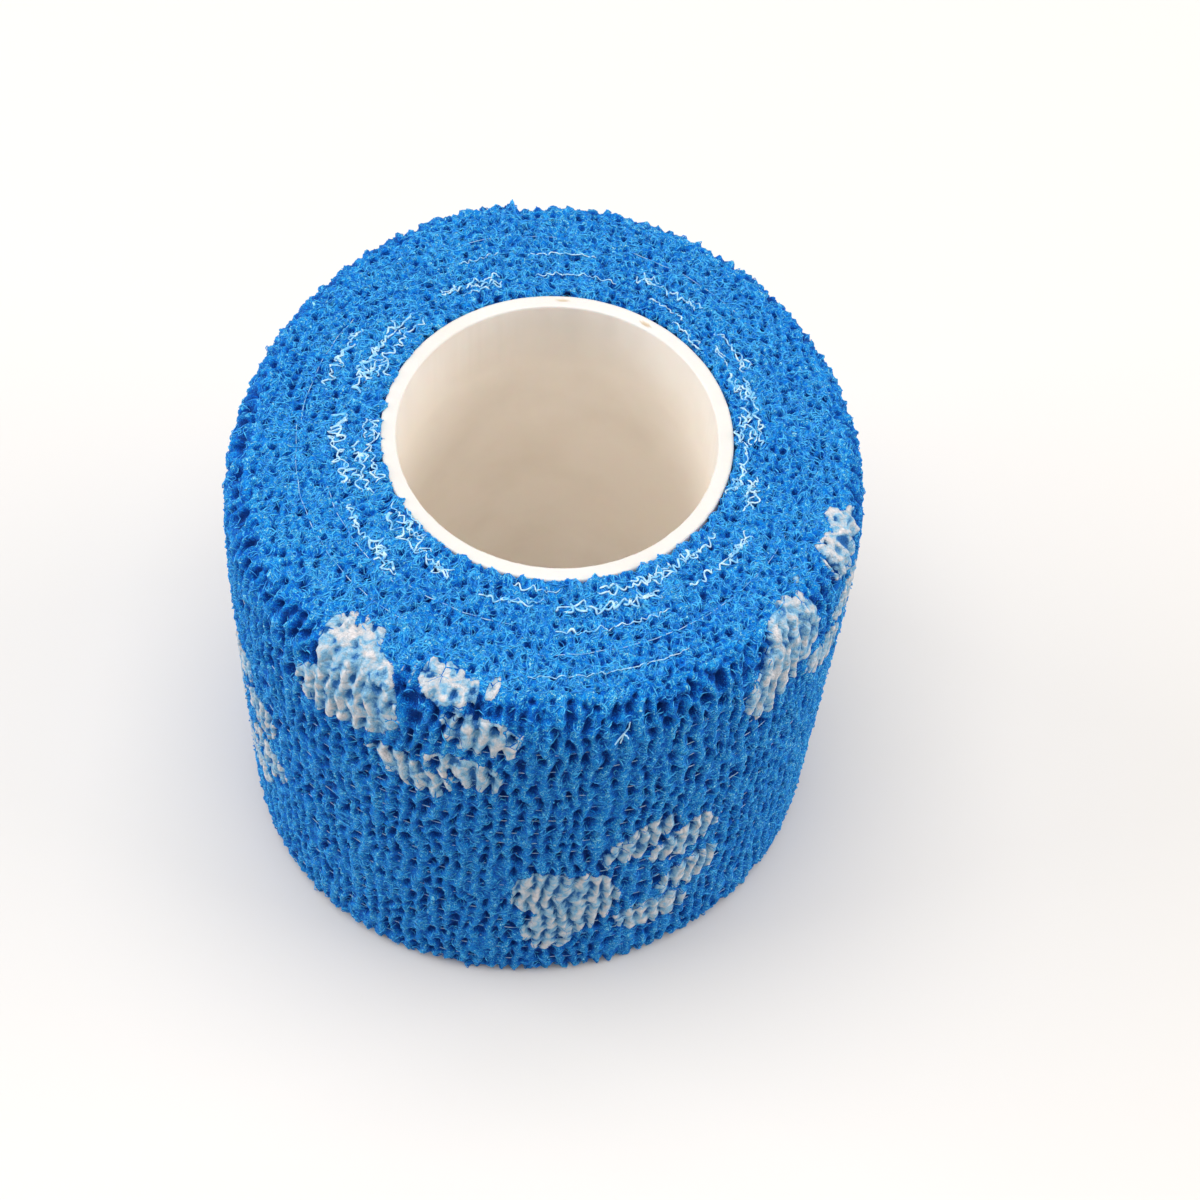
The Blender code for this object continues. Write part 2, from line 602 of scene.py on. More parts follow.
@dataclass(frozen=True)
class ExtrudedPlastic:
    """White polypropylene tube, extruded and sawn to length: satin outside, slightly burred at the cut."""

    name: str = "extruded_white_polypropylene"
    wall: str = "#FEF5EA"
    # The rim is greyer than the wall: partly the sawn cut's duller tone and partly painted shade, so that the
    # end facing the lights does not burn out
    rim: str = "#CFCDCA"
    stain: str = "#BCAA92"
    # Sizes in millimetres. The stretch is how fast the lines change along the tube, as a share of across it
    cloud_size: float = 9.0
    draw_line_size: float = 0.9
    draw_line_depth: float = 0.03
    draw_line_stretch: float = 0.05
    roughness: float = 0.42
    refraction: float = 1.49

    def make(self) -> bpy.types.Material:
        """Builds the material.

        Returns:
            The material, which reads the rim and nick attributes of its mesh.
        """
        material, tree, shader = new_material(self.name)
        place = add_node(tree, "ShaderNodeTexCoord")
        clouds = add_node(
            tree,
            "ShaderNodeTexNoise",
            {"Scale": 1.0 / (self.cloud_size * MM), "Detail": 3.0},
            {"Vector": place.outputs["Object"]},
        )
        # The die leaves faint lines along the tube, so this noise is stretched along Z
        along = add_node(
            tree,
            "ShaderNodeMapping",
            {"Scale": (1.0, 1.0, self.draw_line_stretch)},
            {"Vector": place.outputs["Object"]},
        )
        lines = add_node(
            tree,
            "ShaderNodeTexNoise",
            {"Scale": 1.0 / (self.draw_line_size * MM), "Detail": 2.0},
            {"Vector": along.outputs["Vector"]},
        )
        rim = add_node(tree, "ShaderNodeAttribute", {"attribute_name": "rim"})
        nick = add_node(tree, "ShaderNodeAttribute", {"attribute_name": "nick"})
        # Mixes in the rim colour, which is partly painted shade
        body = add_node(
            tree,
            "ShaderNodeMix",
            {"data_type": "RGBA", 6: linear(self.wall), 7: linear(self.rim)},
            {"Factor": rim.outputs["Fac"]},
        )
        cloudy = add_node(
            tree,
            "ShaderNodeMapRange",
            {"From Min": 0.45, "From Max": 0.75, "To Min": 0.0, "To Max": 0.14},
            {"Value": clouds.outputs["Fac"]},
        )
        colour = body.outputs[2]
        for share in (cloudy.outputs["Result"], nick.outputs["Fac"]):
            stained = add_node(
                tree,
                "ShaderNodeMix",
                {"data_type": "RGBA", 7: linear(self.stain)},
                {"Factor": share, 6: colour},
            )
            colour = stained.outputs[2]
        tree.links.new(colour, shader.inputs["Base Color"])
        bump = add_node(
            tree,
            "ShaderNodeBump",
            {"Strength": 0.25, "Distance": self.draw_line_depth * MM},
            {"Height": lines.outputs["Fac"]},
        )
        tree.links.new(bump.outputs["Normal"], shader.inputs["Normal"])
        shader.inputs["Roughness"].default_value = self.roughness
        shader.inputs["IOR"].default_value = self.refraction
        shader.inputs["Subsurface Weight"].default_value = 0.12
        shader.inputs["Subsurface Scale"].default_value = 1.5 * MM
        return material


@dataclass(frozen=True)
class PaleTable:
    """Satin painted board: an even, nearly white surface."""

    name: str = "pale_painted_board"
    paint: str = "#D4D2D0"

    def make(self) -> bpy.types.Material:
        """Builds the material.

        Returns:
            The material.
        """
        material, _, shader = new_material(self.name)
        shader.inputs["Base Color"].default_value = linear(self.paint)
        shader.inputs["Roughness"].default_value = 0.7
        shader.inputs["Specular IOR Level"].default_value = 0.2
        return material


# ---------------------------------------------------------------------------------------------
# The wound strip's shape
# ---------------------------------------------------------------------------------------------


@dataclass
class Section:
    """Points of the roll's outline in one half-plane, in millimetres.

    out and up are the outward normal, side is 1 on the side and 0 on an end, and tape is the distance
    up the strip's width.
    """

    radius: np.ndarray
    height: np.ndarray
    out: np.ndarray
    up: np.ndarray
    side: np.ndarray
    tape: np.ndarray

    def pick(self, rows: np.ndarray) -> Section:
        """Reads the section at row numbers, between rows where they aren't whole.

        Args:
            rows: Row numbers.

        Returns:
            The section at each of them.
        """
        whole = np.arange(len(self.radius))
        return Section(*(np.interp(rows, whole, column) for column in vars(self).values()))

    @classmethod
    def join(cls, sections: list[Section]) -> Section:
        """Puts sections end to end.

        Args:
            sections: The sections, in order.

        Returns:
            One section with all of their points.
        """
        columns = zip(*(vars(section).values() for section in sections))
        return cls(*(np.concatenate(column) for column in columns))


class Stretch(Enum):
    """The stretches of the outline that are skinned one by one."""

    BASE_FACE = "winding_base_face"
    LOWER_SIDE = "winding_side_lower"
    UPPER_SIDE = "winding_side_upper"
    TOP_FACE = "winding_top_face"


@dataclass
class WoundStrip:
    """The wound strip's main form, the same as its solid's, and the relief on it. Sizes in millimetres."""

    strip_width: float = 50.0
    outer_radius: float = 28.95
    turn_thickness: float = 0.8
    end_angle: float = math.radians(100.0)
    top_taper: float = 0.5
    taper_start: float = 34.0
    out_of_round: tuple[tuple[int, float, float], ...] = (
        (2, 0.50, math.radians(70.0)),
        (3, 0.42, math.radians(98.0)),
    )
    top_shoulder: tuple[float, float] = (2.4, 4.6)
    base_shoulder: tuple[float, float] = (1.2, 1.8)
    top_shoulder_rows: int = 24
    base_shoulder_rows: int = 10
    bore_radius: float = 15.95
    bore_round: float = 0.45
    bore_depth: float = 3.0
    core_offset: tuple[float, float] = (0.7, 1.1)
    # The innermost turn leans in over the core's rim on one side, and rises by a share of its lean
    lean: float = 0.42
    lean_towards: float = math.radians(232.0)
    lean_rise: float = 0.45
    split_height: float = 22.5
    rib_count: int = 132
    thread_pitch: float = 2.3
    axis: Vector = field(default_factory=Vector)

    def side_radius(self, height: np.ndarray) -> np.ndarray:
        """Radius of the last turn before the shoulders.

        Args:
            height: Heights above the base.

        Returns:
            The radius at each height.
        """
        rise = np.maximum(0.0, height - self.taper_start) / (self.strip_width - self.taper_start)
        return self.outer_radius - self.top_taper * rise**2

    def _flat(self, inner: float, outer: float, top: bool, pitch: float) -> np.ndarray:
        """Rows across a flat end.

        Args:
            inner: Radius where the rows start.
            outer: Radius where they end.
            top: Whether it is the top end.
            pitch: Distance between rows.

        Returns:
            One row of a Section's six values for each point.
        """
        radius = np.linspace(inner, outer, max(2, round(abs(outer - inner) / pitch)))
        same = np.ones_like(radius)
        height, up = (self.strip_width, 1.0) if top else (0.0, -1.0)
        sizes = self.top_shoulder if top else self.base_shoulder
        tape = self._shoulder(sizes, top, self.top_shoulder_rows)[0, 5] + (outer - radius) * up
        return np.column_stack((radius, height * same, 0.0 * same, up * same, 0.0 * same, tape))

    def _shoulder(self, sizes: tuple[float, float], top: bool, count: int) -> np.ndarray:
        """Rows round a shoulder, from the flat end to the side.

        Args:
            sizes: How far it runs along the radius, and how tall it is.
            top: Whether it is the top one.
            count: How many rows.

        Returns:
            One row of a Section's six values for each point.
        """
        radial, tall = sizes
        angle = np.linspace(0.0, 0.5 * math.pi, count)
        drop = tall * (1.0 - np.cos(angle))
        height = self.strip_width - drop if top else drop
        radius = self.side_radius(height) - radial * (1.0 - np.sin(angle))
        out, up = np.sin(angle) / radial, np.cos(angle) / tall
        size = np.hypot(out, up)
        side = np.clip((angle - math.radians(4.0)) / math.radians(72.0), 0.0, 1.0)
        run = np.concatenate(([0.0], np.cumsum(np.hypot(np.diff(radius), np.diff(height)))))
        tape = self.strip_width - tall + run[-1] - run if top else run + tall - run[-1]
        return np.column_stack((radius, height, out / size, (up if top else -up) / size, side, tape))

    def _side(self, low: float, high: float, pitch: float) -> np.ndarray:
        """Rows up the side.

        Args:
            low: Height where they start.
            high: Height where they end.
            pitch: Distance between rows.

        Returns:
            One row of a Section's six values for each point.
        """
        height = np.linspace(low, high, max(2, round((high - low) / pitch)))
        one = np.ones_like(height)
        return np.column_stack((self.side_radius(height), height, one, 0.0 * one, one, height))

    def _bore_edge(self, top: bool) -> np.ndarray:
        """Rows from inside the bore round its edge, ending at the flat end.

        Args:
            top: Whether it is the top edge.

        Returns:
            One row of a Section's six values for each point.
        """
        angle = np.linspace(-0.5 * math.pi, 0.0, 5)
        radius = self.bore_radius + self.bore_round * (1.0 + np.sin(angle))
        drop = self.bore_round * (1.0 - np.cos(angle))
        deep = np.array([[self.bore_radius, self.bore_depth, -1.0, 0.0, 0.0, UNPRINTED]])
        none = 0.0 * angle
        rows = np.column_stack((radius, drop, np.sin(angle), np.cos(angle), none, none + UNPRINTED))
        rows = np.vstack((deep, rows))
        if top:
            rows[:, 1] = self.strip_width - rows[:, 1]
        else:
            rows[:, 3] = -rows[:, 3]
        return rows

    def section(self, stretch: Stretch, pitch: float) -> Section:
        """The rows of one stretch of the outline.

        Args:
            stretch: Which stretch.
            pitch: Distance between rows.

        Returns:
            Its rows, in order along the outline.
        """
        edge = self.bore_radius + self.bore_round
        low, high = self.base_shoulder[1], self.strip_width - self.top_shoulder[1]
        if stretch is Stretch.BASE_FACE:
            rim = float(self.side_radius(np.array(0.0))) - self.base_shoulder[0]
            rows = (self._bore_edge(False), self._flat(edge, rim, False, pitch)[1:])
        elif stretch is Stretch.LOWER_SIDE:
            turn = self._shoulder(self.base_shoulder, False, self.base_shoulder_rows)
            rows = (turn, self._side(low, self.split_height, pitch)[1:])
        elif stretch is Stretch.UPPER_SIDE:
            turn = self._shoulder(self.top_shoulder, True, self.top_shoulder_rows)[::-1]
            rows = (self._side(self.split_height, high, pitch), turn[1:])
        else:
            rim = float(self.side_radius(np.array(self.strip_width))) - self.top_shoulder[0]
            rows = (self._bore_edge(True), self._flat(edge, rim, True, pitch)[1:])
        return Section(*np.vstack(rows).T)

    def on_top(self, radius: np.ndarray) -> Section:
        """Points of inner turns on the top end.

        Args:
            radius: Radius of each point about the core.

        Returns:
            The section at each of them.
        """
        one = np.ones_like(radius)
        return Section(radius, self.strip_width * one, 0.0 * one, one, 0.0 * one, UNPRINTED * one)

    def spread(self, angle: np.ndarray, section: Section) -> tuple[np.ndarray, np.ndarray]:
        """Where the smooth outline lies round the roll, before any relief.

        Args:
            angle: Angle of each point.
            section: Section at each point.

        Returns:
            The radius, and how much of the core's offset applies there.
        """
        turned = ((angle - self.end_angle) / FULL_TURN) % 1.0
        swell = self.turn_thickness * (0.5 - turned)
        for count, size, crest in self.out_of_round:
            swell = swell + size * np.cos(count * (angle - crest))
        reach = (section.radius - self.bore_radius) / (self.outer_radius - self.bore_radius)
        reach = np.clip(reach, 0.0, 1.0)
        return section.radius + swell * reach, 1.0 - reach

    def points(self, angle: np.ndarray, section: Section, relief: np.ndarray) -> np.ndarray:
        """Places points on the roll.

        Args:
            angle: Angle of each point.
            section: Section at each point.
            relief: How far each point stands out of the smooth outline.

        Returns:
            One row of x, y and z for each point, in millimetres.
        """
        radius, core_share = self.spread(angle, section)
        lean = self._lean(angle, section)
        radius = radius + section.out * relief - lean
        x = radius * np.cos(angle) + self.core_offset[0] * core_share + self.axis.x
        y = radius * np.sin(angle) + self.core_offset[1] * core_share + self.axis.y
        height = section.height + section.up * relief + self.lean_rise * lean
        return np.column_stack((x, y, np.maximum(height, 0.0)))

    def _lean(self, angle: np.ndarray, section: Section) -> np.ndarray:
        """How far the top edge of the innermost turn leans in over the core's rim.

        Args:
            angle: Angle of each point.
            section: Section at each point.

        Returns:
            The lean of each point, in millimetres.
        """
        edge = self.bore_radius + self.bore_round
        near = np.clip((edge + 0.5 - section.radius) / 0.6, 0.0, 1.0)
        near = near * smooth_step(section.height, self.strip_width - 2.5, self.strip_width - 0.4)
        facing = smooth_step(np.cos(angle - self.lean_towards), -0.30, 0.55)
        scallop = PlaneNoise(91).waves(angle / FULL_TURN * 84, np.zeros_like(angle), 84)
        return near * facing * self.lean * (0.62 + 0.75 * scallop)


@dataclass(frozen=True)
class PawPrint:
    """One printed paw: where its pad lies on the outer turn, and which way its toes point.

    It reaches over the top shoulder as far as reach, a distance up the strip's width. To one side of the
    pad this falls by slant for each millimetre of arc: before the pad where slant is positive, and after it
    where slant is negative.
    """

    arc: float
    tape: float
    turn: float
    size: float = 1.0
    squash: float = 1.0
    reach: float = 51.2
    slant: float = 0.0


# Arc runs round the side from the front, towards +X. The print is common: a pad with four toes, in two
# rows that are half a repeat apart.
PAWS = (
    PawPrint(4.6, 15.2, 13.0),
    PawPrint(-40.0, 19.6, 10.0, 0.95),
    PawPrint(-82.6, 16.5, 9.0),
    PawPrint(45.6, 13.6, 10.0, 0.97),
    PawPrint(86.4, 15.0, 14.0),
    PawPrint(-16.2, 47.1, -13.0, 1.0, 0.76, 53.1, -0.10),
    PawPrint(24.8, 47.3, -3.0, 0.97, 0.90, 51.7, 1.0),
    PawPrint(70.0, 39.5, -6.0, 1.0, 0.9),
    PawPrint(-60.5, 38.5, -8.0, 0.95, 0.85),
)


@dataclass
class PawMotif:
    """The printed motif before the strip gathers: round pad and four oval toes, in millimetres."""

    gather: float = 0.62
    pad: tuple[tuple[float, float, float, float], ...] = (
        (1.2, 0.0, 6.6, 6.0),
        (-3.6, 4.2, 4.6, 4.4),
        (-3.6, -4.2, 4.6, 4.4),
    )
    # Distance and angle of each toe from the pad, and its half length and half width
    toes: tuple[tuple[float, float, float, float], ...] = (
        (14.6, 35.0, 6.8, 2.6),
        (19.4, 11.5, 6.0, 3.0),
        (19.4, -11.5, 6.0, 3.0),
        (14.6, -35.0, 6.6, 2.8),
    )

    def inside(self, paw: PawPrint, arc: np.ndarray, tape: np.ndarray) -> np.ndarray:
        """How far inside one paw's print points lie.

        Args:
            paw: The paw.
            arc: Distance of each point round the side.
            tape: Distance of each point up the strip's width.

        Returns:
            Millimetres inside the nearest edge, negative outside.
        """
        along = (arc - paw.arc) / self.gather
        across = (tape - paw.tape) / paw.squash
        turn = math.radians(paw.turn)
        ahead = (along * math.cos(turn) + across * math.sin(turn)) / paw.size
        left = (across * math.cos(turn) - along * math.sin(turn)) / paw.size
        best = np.full_like(arc, -UNPRINTED)
        for middle_x, middle_y, half_x, half_y in self.pad:
            best = np.maximum(best, self._oval(ahead - middle_x, left - middle_y, half_x, half_y))
        for distance, angle, half_x, half_y in self.toes:
            lean = math.radians(angle)
            off_x = ahead - distance * math.cos(lean)
            off_y = left - distance * math.sin(lean)
            out = off_x * math.cos(0.4 * lean) + off_y * math.sin(0.4 * lean)
            beside = off_y * math.cos(0.4 * lean) - off_x * math.sin(0.4 * lean)
            best = np.maximum(best, self._oval(out, beside, half_x, half_y))
        reach = paw.reach + np.minimum(0.0, paw.slant * (arc - paw.arc))
        return np.minimum(best, reach - tape)

    def _oval(self, x: np.ndarray, y: np.ndarray, half_x: float, half_y: float) -> np.ndarray:
        """Millimetres inside an oval, roughly."""
        return (1.0 - np.hypot(x / half_x, y / half_y)) * min(half_x, half_y)


@dataclass
class CrinkledSurface:
    """The relief of the gathered cloth on the wound strip, with the marks that its finish reads, among them a
    painted shade of its hollows.
    """

    strip: WoundStrip
    motif: PawMotif = field(default_factory=PawMotif)
    ridge_height: float = 0.26
    groove_depth: float = 0.34
    rim_lobe_height: float = 0.34
    pit_depth: float = 0.74
    small_pit_depth: float = 0.22
    felt_height: float = 0.16
    tied_depth: float = 0.07
    side_lift: float = 0.10
    print_thickness: float = 0.13
    end_lift: float = 0.12
    end_pit_depth: float = 0.75
    end_small_pit_depth: float = 0.28
    crumb_height: float = 0.24
    tuft_height: float = 0.08
    turn_groove_depth: float = 0.10
    cut_end_height: float = 0.12
    # Sideways straying of the ribs, in ribs: broad and fine
    rib_stray: tuple[float, float] = (0.50, 0.32)
    # Heights between which the film's grooves fade, towards the top shoulder
    grooves_fade: tuple[float, float] = (40.0, 46.0)

    def thread_heights(self) -> np.ndarray:
        """Heights at which the elastic threads run round, a little unevenly spaced.

        Returns:
            The heights, from the base up.
        """
        count = round(self.strip.strip_width / self.strip.thread_pitch)
        uneven = np.random.default_rng(31).uniform(-0.16, 0.16, count)
        return (np.arange(count) + 0.5 + uneven) * self.strip.strip_width / count

    def arc(self, angle: np.ndarray) -> np.ndarray:
        """Distance round the side from the front, with its jump at the strip's cut end."""
        turned = (angle - self.strip.end_angle) % FULL_TURN
        return (turned + self.strip.end_angle - 1.5 * math.pi) * self.strip.outer_radius

    def printed(self, angle: np.ndarray, height: np.ndarray, pit: np.ndarray) -> np.ndarray:
        """How far inside the print each point of the side lies.

        Args:
            angle: Angle of each point.
            height: Height of each point.
            pit: How deep in a pit it lies, from 0 to 1.

        Returns:
            Millimetres inside the print's edge, negative outside.
        """
        arc = self.arc(angle)
        uneven = 0.55 * PlaneNoise(41).waves(arc / 1.5 + 70.0, height / 1.9)
        uneven += 0.30 * PlaneNoise(42).waves(arc / 0.7 + 140.0, height / 0.8)
        inside = np.full_like(arc, -UNPRINTED)
        for paw in PAWS:
            inside = np.maximum(inside, self.motif.inside(paw, arc, height))
        return np.clip(inside + uneven - 1.5 * pit, -1.5, 1.5)

    def side_marks(self, angle: np.ndarray, height: np.ndarray) -> tuple[np.ndarray, np.ndarray, np.ndarray]:
        """Relief, cavity and print of the side.

        Args:
            angle: Angle of each point.
            height: Height of each point.

        Returns:
            The relief in millimetres, the cavity from 0 to 1 that paints shade into the hollows, and the print
            in millimetres.
        """
        share = angle / FULL_TURN
        stray = self.rib_stray[0] * PlaneNoise(11).waves(share * 34, height / 6.5, 34)
        stray += self.rib_stray[1] * PlaneNoise(12).waves(share * 88, height / 2.2, 88)
        rib = self.strip.rib_count * share + stray
        threads = self.thread_heights()
        row = np.interp(height, threads, np.arange(len(threads)), left=-1.0, right=len(threads))
        ridge = np.cos(FULL_TURN * rib)
        patch = PlaneNoise(13).waves(share * 40, height / 5.0, 40)
        pit = PlaneNoise(14).pits(
            rib, row + 20.0, (0.20, 0.40), (0.24, 0.50), (0.14, 0.26), 0.84, 0.4, self.strip.rib_count
        )
        small = PlaneNoise(15).pits(
            share * 190, height / 1.1, (0.16, 0.34), (0.20, 0.42), (0.3, 0.3), 0.40, 0.0, 190
        )
        felt = PlaneNoise(16).rough(share * 240, height / 0.85, 240, 3)
        tied = np.exp(-(((row - np.round(row)) / 0.09) ** 2))
        printed = self.printed(angle, height, np.maximum(0.0, pit - 0.12))
        film = smooth_step(printed, -0.1, 0.25)
        groove = film * np.clip(-0.45 - ridge, 0.0, 1.0) * (1.0 + patch)
        groove *= 1.0 - 0.75 * smooth_step(height, *self.grooves_fade)
        relief = 0.5 * self.ridge_height * ridge * (1.0 + 0.35 * patch) - self.groove_depth * groove
        relief -= self.pit_depth * pit * (1.0 - 0.50 * film)
        relief -= self.small_pit_depth * small * (1.0 - 0.8 * film)
        relief += self.felt_height * felt * (1.0 - 0.45 * film)
        relief -= self.tied_depth * tied * (1.0 - film)
        relief += self.print_thickness * film + self.side_lift
        # The cavity is painted shade: it darkens the pits, the rib valleys and the film's grooves, and lightens
        # the felt's bumps
        cavity = pit * (1.0 - 0.30 * film) + 0.45 * small + 0.14 * (1.0 - ridge) - 0.12 * felt + 0.9 * groove
        return relief, np.clip(cavity, 0.0, 1.0), printed

    def end_marks(self, angle: np.ndarray, radius: np.ndarray) -> tuple[np.ndarray, np.ndarray]:
        """Relief and cavity of a wound end.

        Args:
            angle: Angle of each point.
            radius: Radius of each point.

        Returns:
            The relief in millimetres and the cavity from 0 to 1, which paints shade into the hollows.
        """
        x = radius * np.cos(angle) + 60.0
        y = radius * np.sin(angle) + 60.0
        coarse = PlaneNoise(21).pits(x / 1.35, y / 1.35, (0.15, 0.30), (0.15, 0.30), (0.32, 0.32), 0.90)
        fine = PlaneNoise(22).pits(x / 0.85, y / 0.85, (0.20, 0.36), (0.20, 0.36), (0.3, 0.3), 0.60)
        crumb = PlaneNoise(23).rough(x / 0.72, y / 0.72, 256, 3)
        share = angle / FULL_TURN
        tuft = PlaneNoise(24).waves(share * 150, radius / 1.7, 150)
        lay = radius / self.strip.turn_thickness + share + 0.5 * PlaneNoise(25).waves(x / 6.0, y / 6.0)
        groove = np.exp(-(((lay % 1.0 - 0.5) / 0.13) ** 2))
        groove *= smooth_step(PlaneNoise(26).waves(x / 7.0, y / 7.0), -0.1, 0.5)
        relief = self.end_lift + self.crumb_height * crumb + self.tuft_height * tuft
        relief -= self.end_pit_depth * coarse + self.end_small_pit_depth * fine
        relief -= self.turn_groove_depth * groove
        # Painted shade: the pits and the grooves between turns are darkened, and the crumbs lightened
        cavity = coarse + 0.60 * fine + 0.30 * groove - 0.25 * crumb
        return relief, np.clip(cavity, 0.0, 1.0)

    def marks(self, angle: np.ndarray, section: Section) -> tuple[np.ndarray, np.ndarray, np.ndarray]:
        """Relief, cavity and print anywhere on the roll.

        Args:
            angle: Angle of each point.
            section: Section at each point.

        Returns:
            The relief in millimetres, the cavity from 0 to 1 that paints shade into the hollows, and the print
            in millimetres.
        """
        relief, cavity, printed = self.side_marks(angle, section.tape)
        end_relief, end_cavity = self.end_marks(angle, section.radius)
        side = section.side
        side_share = smooth_step(side, 0.05, 0.50)
        end_share = 1.0 - smooth_step(side, 0.45, 0.95)
        rim = 4.0 * side * (1.0 - side)
        lobes = PlaneNoise(27).waves(angle / FULL_TURN * 150, section.tape / 1.3, 150)
        film = smooth_step(printed, -0.1, 0.25)
        end_relief = end_relief * (1.0 - 0.35 * film) + self.print_thickness * film
        relief = side_share * relief + end_share * end_relief + self.rim_lobe_height * rim * lobes
        # The lobes round the shoulders stand out and are lightened with painted highlight
        cavity = side_share * cavity + end_share * end_cavity - 0.25 * rim * lobes
        # The cut end: a dip at its foot, darkened with a painted shadow, and a raised lip after it
        step = (angle - self.strip.end_angle + math.pi) % FULL_TURN - math.pi
        foot = np.exp(-((step * self.strip.outer_radius + 0.25) / 0.30) ** 2) * side
        lip = np.exp(-((step * self.strip.outer_radius - 0.55) / 0.45) ** 2) * side
        relief += self.cut_end_height * (lip - foot)
        cavity = np.clip(cavity + 0.7 * foot, 0.0, 1.0)
        return relief, cavity, printed


# ---------------------------------------------------------------------------------------------
# Pieces
# ---------------------------------------------------------------------------------------------


@dataclass
class ClothSkin:
    """The visible skin of the wound strip, in four turned pieces that meet edge to edge."""

    surface: CrinkledSurface
    columns: int = 840
    side_pitch: float = 0.25
    top_pitch: float = 0.19
    base_pitch: float = 0.8

    def build(self, material: bpy.types.Material) -> None:
        """Builds and dresses the four pieces, and puts them in the place of the plain winding.

        Args:
            material: The cloth's finish.
        """
        pitches = {Stretch.TOP_FACE: self.top_pitch, Stretch.BASE_FACE: self.base_pitch}
        for stretch in Stretch:
            section = self.surface.strip.section(stretch, pitches.get(stretch, self.side_pitch))
            piece = self._skin(stretch.value, section)
            dress(piece, material)
        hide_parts("bandage_winding")

    def _skin(self, name: str, section: Section) -> bpy.types.Object:
        """Spins one stretch of the outline and moves its points onto the cloth.

        Args:
            name: The piece's name.
            section: Its rows.

        Returns:
            The piece.
        """
        bm = bmesh.new()
        row_layer = bm.verts.layers.int.new("row")
        rail = []
        for row, (radius, height) in enumerate(zip(section.radius, section.height)):
            vert = bm.verts.new((radius * MM, 0.0, height * MM))
            vert[row_layer] = row
            rail.append(vert)
        for pair in zip(rail, rail[1:]):
            bm.edges.new(pair)
        mesh = turned_mesh(name, bm, self.columns)
        self._lay(mesh, section)
        return add_object(name, mesh)

    def _lay(self, mesh: bpy.types.Mesh, section: Section) -> None:
        """Moves a spun mesh's points onto the cloth and writes its marks.

        Args:
            mesh: The spun mesh, with each point's row number.
            section: The rows.
        """
        places = read_places(mesh.vertices, "co")
        rows = np.empty(len(places), np.int32)
        mesh.attributes["row"].data.foreach_get("value", rows)
        angle = np.arctan2(places[:, 1], places[:, 0]).astype(float)
        # Rounded to its column, so that the pieces' edges and the seam meet exactly
        step = FULL_TURN / self.columns
        angle = (np.round(angle / step) * step) % FULL_TURN
        at = section.pick(rows)
        relief, cavity, printed = self.surface.marks(angle, at)
        placed = self.surface.strip.points(angle, at, relief) * MM
        write_points(mesh, placed, {"cavity": cavity, "print": printed})
        mesh.attributes.remove(mesh.attributes["row"])
        outward = self._outward(read_places(mesh.polygons, "center"))
        if (read_places(mesh.polygons, "normal") * outward).sum() < 0.0:
            mesh.flip_normals()

    def _outward(self, middles: np.ndarray) -> np.ndarray:
        """Directions out of the roll's wall at face centres, in metres.

        Args:
            middles: Face centres.

        Returns:
            A direction for each.
        """
        strip = self.surface.strip
        ring = 0.5 * (strip.outer_radius + strip.bore_radius) * MM
        flat = np.hypot(middles[:, 0], middles[:, 1])
        share = (flat - ring) / np.maximum(flat, MM)
        rise = middles[:, 2] - 0.5 * strip.strip_width * MM
        rise = np.where(np.abs(rise) > 0.45 * strip.strip_width * MM, rise, 0.0)
        return np.column_stack((middles[:, 0] * share, middles[:, 1] * share, rise))


@dataclass
class ThreadMaker:
    """Makes many thin threads as one mesh, from poly splines with a three-sided section."""

    sides: int = 3

    def build(
        self, name: str, paths: list[np.ndarray], thickness: float, widths: list[np.ndarray] | None = None
    ) -> bpy.types.Object:
        """Makes one piece of all the threads.

        Args:
            name: The piece's name.
            paths: Rows of x, y and z in millimetres, for each thread.
            thickness: The threads' diameter.
            widths: Share of the diameter at each point, for each thread.

        Returns:
            The piece, as a mesh.
        """
        section = bpy.data.curves.new(name + "_section", "CURVE")
        section.dimensions = "2D"
        ring = section.splines.new("POLY")
        ring.points.add(self.sides - 1)
        half = 0.5 * thickness * MM
        for number, point in enumerate(ring.points):
            turn = FULL_TURN * number / self.sides
            point.co = (half * math.cos(turn), half * math.sin(turn), 0.0, 1.0)
        ring.use_cyclic_u = True
        section_object = add_object(name + "_section", section)
        curve = bpy.data.curves.new(name, "CURVE")
        curve.dimensions = "3D"
        curve.bevel_mode = "OBJECT"
        curve.bevel_object = section_object
        curve.use_fill_caps = True
        for number, path in enumerate(paths):
            spline = curve.splines.new("POLY")
            spline.points.add(len(path) - 1)
            rows = np.column_stack((path * MM, np.ones(len(path))))
            spline.points.foreach_set("co", rows.astype(np.float32).ravel())
            if widths is not None:
                spline.points.foreach_set("radius", widths[number].astype(np.float32))
        drawn = add_object(name + "_curve", curve)
        graph = bpy.context.evaluated_depsgraph_get()
        mesh = bpy.data.meshes.new_from_object(drawn.evaluated_get(graph))
        mesh.name = name
        mesh.shade_smooth()
        bpy.data.objects.remove(drawn)
        bpy.data.objects.remove(section_object)
        return add_object(name, mesh)


